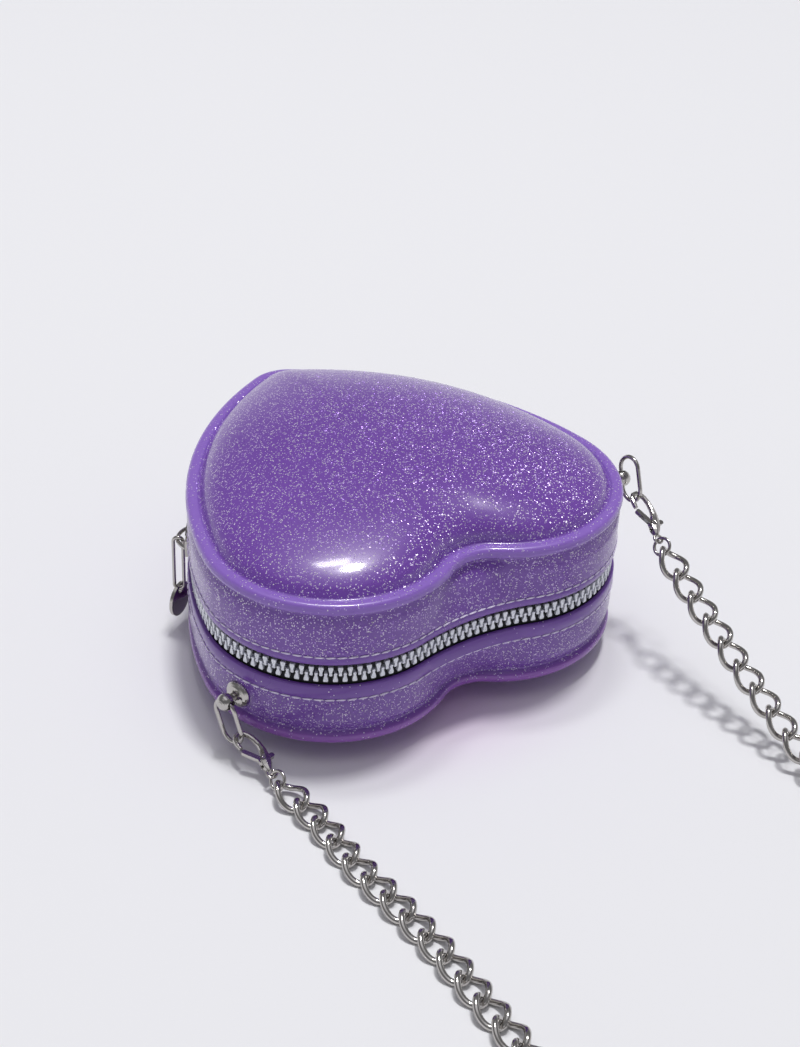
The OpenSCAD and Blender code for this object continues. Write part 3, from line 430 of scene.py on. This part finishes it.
def plastic(name, deep, pale, bead, chip_dark, chip_bright, share):
    # Tinted plastic, cloudy between two tones, clearer along the bead, with
    # the flakes where the skin's own attribute says that they are
    skin_mat = bpy.data.materials.new(name)
    skin_mat.use_nodes = True
    nodes, wires = skin_mat.node_tree.nodes, skin_mat.node_tree.links
    bsdf = nodes["Principled BSDF"]
    bsdf.inputs["Coat Weight"].default_value = 0.5
    bsdf.inputs["Coat Roughness"].default_value = 0.1
    bsdf.inputs["Specular IOR Level"].default_value = 0.4
    where = nodes.new("ShaderNodeTexCoord")
    clouded = nodes.new("ShaderNodeTexNoise")
    clouded.inputs["Scale"].default_value = 38
    clouded.inputs["Detail"].default_value = 3
    wires.new(where.outputs["Object"], clouded.inputs["Vector"])
    tint = nodes.new("ShaderNodeMix")
    tint.data_type = "RGBA"
    tint.inputs[6].default_value = deep
    tint.inputs[7].default_value = pale
    wires.new(clouded.outputs["Fac"], tint.inputs[0])
    on_bead = nodes.new("ShaderNodeAttribute")
    on_bead.attribute_name = "beaded"
    clear = nodes.new("ShaderNodeMix")
    clear.data_type = "RGBA"
    clear.inputs[7].default_value = bead
    wires.new(on_bead.outputs["Fac"], clear.inputs[0])
    wires.new(tint.outputs[2], clear.inputs[6])
    has_flakes = nodes.new("ShaderNodeAttribute")
    has_flakes.attribute_name = "flaked"
    group = nodes.new("ShaderNodeGroup")
    group.node_tree = flakes
    group.inputs["Chips per metre"].default_value = 2500
    group.inputs["Chip radius"].default_value = 0.47
    group.inputs["Tip"].default_value = 1.2
    amount = nodes.new("ShaderNodeMath")
    amount.operation = "MULTIPLY"
    amount.inputs[1].default_value = share
    wires.new(has_flakes.outputs["Fac"], amount.inputs[0])
    wires.new(amount.outputs[0], group.inputs["Share of chips"])
    chip_tone = nodes.new("ShaderNodeMix")
    chip_tone.data_type = "RGBA"
    chip_tone.inputs[6].default_value = chip_dark
    chip_tone.inputs[7].default_value = chip_bright
    wires.new(group.outputs["Tone"], chip_tone.inputs[0])
    paint = nodes.new("ShaderNodeMix")
    paint.data_type = "RGBA"
    wires.new(group.outputs["Chip"], paint.inputs[0])
    wires.new(clear.outputs[2], paint.inputs[6])
    wires.new(chip_tone.outputs[2], paint.inputs[7])
    wires.new(paint.outputs[2], bsdf.inputs["Base Color"])
    metal = nodes.new("ShaderNodeMath")
    metal.operation = "MULTIPLY"
    metal.inputs[1].default_value = 0.3
    wires.new(group.outputs["Chip"], metal.inputs[0])
    wires.new(metal.outputs[0], bsdf.inputs["Metallic"])
    sheen = nodes.new("ShaderNodeMapRange")
    sheen.inputs["To Min"].default_value = 0.2
    sheen.inputs["To Max"].default_value = 0.38
    wires.new(clouded.outputs["Fac"], sheen.inputs["Value"])
    wires.new(sheen.outputs["Result"], bsdf.inputs["Roughness"])
    ripple = nodes.new("ShaderNodeBump")
    ripple.inputs["Strength"].default_value = 0.12
    ripple.inputs["Distance"].default_value = 0.0004
    wires.new(clouded.outputs["Fac"], ripple.inputs["Height"])
    wires.new(group.outputs["Normal"], ripple.inputs["Normal"])
    wires.new(ripple.outputs["Normal"], bsdf.inputs["Normal"])
    return skin_mat


# The rear bead's colour is partly its own clear plum and partly painted light: the reddish glow of
# light passing through the clear bead and bounced up from the floor
rear_shell.data.materials.append(plastic("dark plum plastic",
    deep=(0.13, 0.044, 0.30, 1), pale=(0.16, 0.058, 0.36, 1), bead=(0.26, 0.085, 0.42, 1),
    chip_dark=(0.28, 0.12, 0.55, 1), chip_bright=(1, 0.95, 1, 1), share=0.28))
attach(rear_shell, "rear")
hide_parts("rear_shell")


def toned(name, texture, dark, light, bump, depth):
    # A material that goes between two tones with a pattern, which also
    # raises the surface a little
    made = bpy.data.materials.new(name)
    made.use_nodes = True
    nodes, wires = made.node_tree.nodes, made.node_tree.links
    bsdf = nodes["Principled BSDF"]
    where = nodes.new("ShaderNodeTexCoord")
    pattern = nodes.new(texture)
    wires.new(where.outputs["Object"], pattern.inputs["Vector"])
    tone = nodes.new("ShaderNodeMix")
    tone.data_type = "RGBA"
    tone.inputs[6].default_value = dark
    tone.inputs[7].default_value = light
    wires.new(pattern.outputs["Fac"], tone.inputs[0])
    wires.new(tone.outputs[2], bsdf.inputs["Base Color"])
    raised = nodes.new("ShaderNodeBump")
    raised.inputs["Strength"].default_value = bump
    raised.inputs["Distance"].default_value = depth
    wires.new(pattern.outputs["Fac"], raised.inputs["Height"])
    wires.new(raised.outputs["Normal"], bsdf.inputs["Normal"])
    return made, bsdf, pattern


# Sewing along each lip: pale lilac thread in short stitches that sink a
# little into the plastic, all the way round
thread, thread_bsdf, twist = toned("lilac thread", "ShaderNodeTexWave",
    dark=(0.6, 0.5, 0.8, 1), light=(0.95, 0.9, 1, 1), bump=0.5, depth=0.0001)
thread_bsdf.inputs["Roughness"].default_value = 0.6
thread_bsdf.inputs["Sheen Weight"].default_value = 0.4
twist.bands_direction = "DIAGONAL"
twist.inputs["Scale"].default_value = 1100
twist.inputs["Distortion"].default_value = 2
stitch_pitch = 0.0031


def seam(name, offset, k, height, body):
    # Stitches set out evenly round a heart at one height, each a short thin
    # thread with one end a little deeper in the plastic
    ring = [Vector((p.x, p.y, height)) / 1000 for p in heart(offset, k)]
    ring.append(ring[0])
    total = line_length(ring)
    count = round(total / stitch_pitch)
    bpy.ops.object.select_all(action="DESELECT")
    bpy.ops.mesh.primitive_uv_sphere_add(segments=8, ring_count=6, radius=0.00028)
    stitch = bpy.context.object
    bpy.ops.object.mode_set(mode="EDIT")
    bpy.ops.mesh.select_all(action="SELECT")
    bpy.ops.transform.resize(value=(5.2, 0.9, 1.0))
    bpy.ops.object.mode_set(mode="OBJECT")
    stitches = []
    for n in range(count):
        s = (n + 0.5) * total / count
        ahead = heading(ring, s, 0.001)
        out = ahead.cross(up).normalized()
        tilt = Matrix.Rotation(math.radians(3.5 if n % 2 else 2), 3, out)
        stitches.append(set_out(stitch, along(ring, s), [tilt @ axis for axis in (-ahead, out, up)]))
    sewn = join(name, stitch, stitches)
    bpy.ops.object.shade_smooth()
    sewn.data.materials.append(thread)
    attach(sewn, body)


seam("rear_seam", offset=-0.05, k=0.13, height=22.8, body="rear")

# Front shell: the other moulded half, a lighter purple, with its puffed dome
# upwards and a narrow smooth lip
front_shell = skin("front_half",
    shell_rings(depth=18.4, lip_out=-0.3, dome_h=13.4, flat=0, last=0.985, stitch=2.7),
    lip_z=34.6, way=1)
front_shell.data.materials.append(plastic("light plum plastic",
    deep=(0.138, 0.048, 0.325, 1), pale=(0.182, 0.068, 0.40, 1), bead=(0.26, 0.135, 0.54, 1),
    chip_dark=(0.3, 0.14, 0.6, 1), chip_bright=(1, 0.95, 1, 1), share=0.3))
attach(front_shell, "front")
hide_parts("front_shell")
seam("front_seam", offset=-0.25, k=0.03, height=37.3, body="front")


def dress(material, *names):
    # Nodes that keep their own solid take the material in all their slots
    for name in names:
        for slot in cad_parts[name].material_slots:
            slot.material = material


# Zip tapes and the strip at the hinge: black woven tape, sewn inside the
# lips, whose ribs run along the zip
weave, tape_bsdf, ribs = toned("black tape", "ShaderNodeTexWave",
    dark=(0.004, 0.004, 0.005, 1), light=(0.02, 0.02, 0.026, 1), bump=0.6, depth=0.0002)
tape_bsdf.inputs["Roughness"].default_value = 0.8
ribs.bands_direction = "Z"
ribs.inputs["Scale"].default_value = 800
ribs.inputs["Distortion"].default_value = 1.5
ribs.inputs["Detail"].default_value = 2
ribs.inputs["Detail Scale"].default_value = 3
dress(weave, "rear_tape", "front_tape", "hinge_strip")

# Zip teeth: moulded pearl plastic, shut round the edges of the tapes. They
# stand on the heart's line a little inside the lips, from the slider's post
# round both lobes to the tip.
pearl, pearl_bsdf, swirl = toned("pearl teeth", "ShaderNodeTexNoise",
    dark=(0.62, 0.65, 0.74, 1), light=(0.9, 0.91, 0.96, 1), bump=0.1, depth=0.0002)
pearl_bsdf.inputs["Metallic"].default_value = 0.25
pearl_bsdf.inputs["Coat Weight"].default_value = 0.4
swirl.inputs["Scale"].default_value = 700
swirl.inputs["Detail"].default_value = 3
pearl_gloss = pearl.node_tree.nodes.new("ShaderNodeMapRange")
pearl_gloss.inputs["To Min"].default_value = 0.18
pearl_gloss.inputs["To Max"].default_value = 0.4
pearl.node_tree.links.new(swirl.outputs["Fac"], pearl_gloss.inputs["Value"])
pearl.node_tree.links.new(pearl_gloss.outputs["Result"], pearl_bsdf.inputs["Roughness"])
zip_inset, zip_z = 2.15, 31
strip_deg, slider_deg, slider_len, post_len = 37.2, 31.8, 12, 2.6
tooth_pitch, tooth_thick, end_teeth, tooth_count = 2.6, 2.3, 17, 119
left_flank_c, left_lobe_c = Vector((-flank_c.x, flank_c.y)), Vector((-lobe_x, -lobe_y))
cleft_c, cleft_a = cleft(zip_cleft_r)
slider_s = math.radians(strip_deg - slider_deg) * (flank_r - zip_inset)
first_tooth_s = slider_s - slider_len / 2 + post_len + tooth_pitch
heart_line = arc(left_flank_c, flank_r - zip_inset, 180 - strip_deg, 180 - flank_a0, 60)
heart_line += arc(left_lobe_c, lobe_r - zip_inset, 180 - flank_a0, 360 - cleft_a, 90)
heart_line += arc(cleft_c, zip_cleft_r + zip_inset, 180 - cleft_a, cleft_a, 40)
heart_line += arc(lobe_c, lobe_r - zip_inset, 180 + cleft_a, 360 + flank_a0, 90)
heart_line += arc(flank_c, flank_r - zip_inset, flank_a0, flank_a1, 90)
heart_line += arc(tip_c, tip_r - zip_inset, flank_a1, 180 - flank_a1, 30)
zip_line = [Vector((p.x, p.y, zip_z)) / 1000 for p in heart_line]
tooth_outline = ((2.48, 0.48), (2.34, 0.66), (1.8, 0.72), (0.55, 0.36), (0.25, 0.33),
    (-0.08, 0.48), (-0.38, 0.42), (-0.52, 0.2))


def teeth(name, side, body):
    # A tooth's heel grips the tape, its neck is narrow and its knob lies
    # between the necks of the two teeth that face it
    right_side = [(w, h) for h, w in tooth_outline]
    left_side = [(-w, h) for h, w in reversed(tooth_outline)]
    bpy.ops.object.select_all(action="DESELECT")
    bpy.ops.mesh.primitive_circle_add(vertices=16, radius=0.001, fill_type="NGON")
    tooth = bpy.context.object
    bpy.ops.object.mode_set(mode="EDIT")
    mesh = bmesh.from_edit_mesh(tooth.data)
    for v, (w, h) in zip(mesh.verts, right_side + left_side):
        v.co = Vector((w, -tooth_thick / 2, side * h)) / 1000
    bmesh.update_edit_mesh(tooth.data)
    bpy.ops.mesh.extrude_region_move(
        TRANSFORM_OT_translate={"value": (0, tooth_thick / 1000, 0)})
    bpy.ops.mesh.inset(thickness=0.00012, depth=0.00008)
    bpy.ops.mesh.select_all(action="SELECT")
    bpy.ops.mesh.normals_make_consistent(inside=False)
    bpy.ops.object.mode_set(mode="OBJECT")
    shift = 0 if side > 0 else 0.5
    row = []
    for n in range(end_teeth, tooth_count):
        s = (first_tooth_s + (n + shift) * tooth_pitch) / 1000
        ahead = heading(zip_line, s, 0.0005)
        row.append(set_out(tooth, along(zip_line, s), (-ahead, ahead.cross(up), up)))
    made = join(name, tooth, row)
    bpy.ops.object.shade_smooth_by_angle(angle=math.radians(35))
    made.data.materials.append(pearl)
    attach(made, body)
    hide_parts(body + "_teeth")


teeth("rear_tooth_row", -1, "rear")
teeth("front_tooth_row", 1, "front")
dress(pearl, "zip_bottom_stop")

# Ends of the two halves of the zip beside the slider: one node each, so the
# pearl teeth and the black tape between them are told apart by how far they
# lie from the middle of the flank's arc
ends = pearl.copy()
ends.name = "pearl teeth on black tape"
end_nodes, end_wires = ends.node_tree.nodes, ends.node_tree.links
from_centre = end_nodes.new("ShaderNodeVectorMath")
from_centre.operation = "SUBTRACT"
from_centre.inputs[1].default_value = (left_flank_c.x / 1000, left_flank_c.y / 1000, 0)
end_wires.new(end_nodes["Texture Coordinate"].outputs["Object"], from_centre.inputs[0])
level = end_nodes.new("ShaderNodeVectorMath")
level.operation = "MULTIPLY"
level.inputs[1].default_value = (1, 1, 0)
end_wires.new(from_centre.outputs[0], level.inputs[0])
reach = end_nodes.new("ShaderNodeVectorMath")
reach.operation = "LENGTH"
end_wires.new(level.outputs[0], reach.inputs[0])
on_tape = end_nodes.new("ShaderNodeMath")
on_tape.operation = "COMPARE"
on_tape.inputs[1].default_value = (flank_r - zip_inset) / 1000
on_tape.inputs[2].default_value = 0.00037
end_wires.new(reach.outputs["Value"], on_tape.inputs[0])
end_paint = end_nodes["Mix"]
end_paint.inputs[6].default_value = (0.76, 0.78, 0.85, 1)
end_paint.inputs[7].default_value = (0.01, 0.01, 0.012, 1)
end_wires.new(on_tape.outputs[0], end_paint.inputs[0])
dress(ends, "rear_zip_end", "front_zip_end")

# Small metal parts: nickel plated where they show, zinc plated screws and
# washers inside, bare spring steel in the clasps
zinc = plated("zinc plated steel", colour=(0.56, 0.57, 0.6, 1), smooth=0.2, dull=0.45,
    bump=0.2, cloud_scale=220)
steel = plated("bright spring steel", colour=(0.5, 0.49, 0.48, 1), smooth=0.15, dull=0.32,
    bump=0.25, cloud_scale=700)
dress(nickel, "zip_slider", "zip_pull_link", "zip_charm", "left_stud", "right_stud", "left_ring",
    "right_ring", "left_clasp_lever", "right_clasp_lever", "left_end_ring", "right_end_ring")
dress(zinc, "left_stud_washer", "right_stud_washer", "left_stud_screw", "right_stud_screw")
dress(steel, "clasp_pins", "clasp_springs")

# Floor, a plain pale sheet with painted coloured shadow: a mauve tint painted in front of and under
# the purse, standing in for the light that the purple plastic lets through
bpy.ops.object.select_all(action="DESELECT")
bpy.ops.mesh.primitive_plane_add(size=6, location=(0, 0, 0))
floor = bpy.context.object
floor.name = "floor"
floor_mat = bpy.data.materials.new("pale floor")
floor_mat.use_nodes = True
floor_nodes, floor_wires = floor_mat.node_tree.nodes, floor_mat.node_tree.links
floor_bsdf = floor_nodes["Principled BSDF"]
floor_bsdf.inputs["Roughness"].default_value = 0.9
floor_bsdf.inputs["Specular IOR Level"].default_value = 0.1
# Painted mauve shadow: a soft round patch in front of the purse that mixes the floor's pale colour
# towards mauve
painted_tint_place = floor_nodes.new("ShaderNodeMapping")
painted_tint_place.vector_type = "TEXTURE"
painted_tint_place.inputs["Location"].default_value = (-0.004, -0.042, 0)
painted_tint_place.inputs["Scale"].default_value = (0.07, 0.053, 0.06)
floor_place = floor_nodes.new("ShaderNodeTexCoord")
floor_wires.new(floor_place.outputs["Object"], painted_tint_place.inputs["Vector"])
painted_shadow_tint = floor_nodes.new("ShaderNodeTexGradient")
painted_shadow_tint.gradient_type = "QUADRATIC_SPHERE"
floor_wires.new(painted_tint_place.outputs["Vector"], painted_shadow_tint.inputs["Vector"])
floor_and_painted_shadow = floor_nodes.new("ShaderNodeMix")
floor_and_painted_shadow.data_type = "RGBA"
floor_and_painted_shadow.inputs[6].default_value = (0.84, 0.84, 0.86, 1)
floor_and_painted_shadow.inputs[7].default_value = (0.8, 0.52, 0.81, 1)
floor_wires.new(painted_shadow_tint.outputs["Fac"], floor_and_painted_shadow.inputs[0])
floor_wires.new(floor_and_painted_shadow.outputs[2], floor_bsdf.inputs["Base Color"])
floor.data.materials.append(floor_mat)

# Light: a small bright panel and a soft distant lamp, both almost overhead, in
# a room that is pale at the horizon and above and darker between
world = bpy.data.worlds.new("room")
bpy.context.scene.world = world
world.use_nodes = True
sky_nodes, sky_wires = world.node_tree.nodes, world.node_tree.links
sky_place = sky_nodes.new("ShaderNodeTexCoord")
sky_height = sky_nodes.new("ShaderNodeSeparateXYZ")
sky_wires.new(sky_place.outputs["Generated"], sky_height.inputs[0])
sky = sky_nodes.new("ShaderNodeValToRGB")
sky.color_ramp.elements[0].position = 0.02
sky.color_ramp.elements[0].color = (0.84, 0.84, 0.87, 1)
sky.color_ramp.elements[1].position = 0.95
sky.color_ramp.elements[1].color = (0.85, 0.85, 0.9, 1)
for position, tone in ((0.2, 0.5), (0.38, 0.19), (0.8, 0.21), (0.88, 0.55)):
    sky.color_ramp.elements.new(position).color = (tone, tone, tone * 1.05, 1)
sky_wires.new(sky_height.outputs["Z"], sky.inputs["Fac"])
sky_wires.new(sky.outputs["Color"], sky_nodes["Background"].inputs["Color"])
panel = bpy.data.lights.new("panel", "AREA")
panel.shape = "RECTANGLE"
panel.size = 0.28
panel.size_y = 0.14
panel.energy = 4.0
softbox = bpy.data.lights.new("softbox", "SUN")
softbox.angle = math.radians(8)
softbox.energy = 1.45
for lamp, spot in ((panel, (0.12, 0.33, 1.56)), (softbox, (0.25, 0.13, 1.53))):
    lamp_object = bpy.data.objects.new(lamp.name, lamp)
    bpy.context.collection.objects.link(lamp_object)
    lamp_object.location = spot
    lamp_object.rotation_euler = (-lamp_object.location).to_track_quat("-Z", "Y").to_euler()

bpy.context.scene.view_settings.view_transform = "Standard"
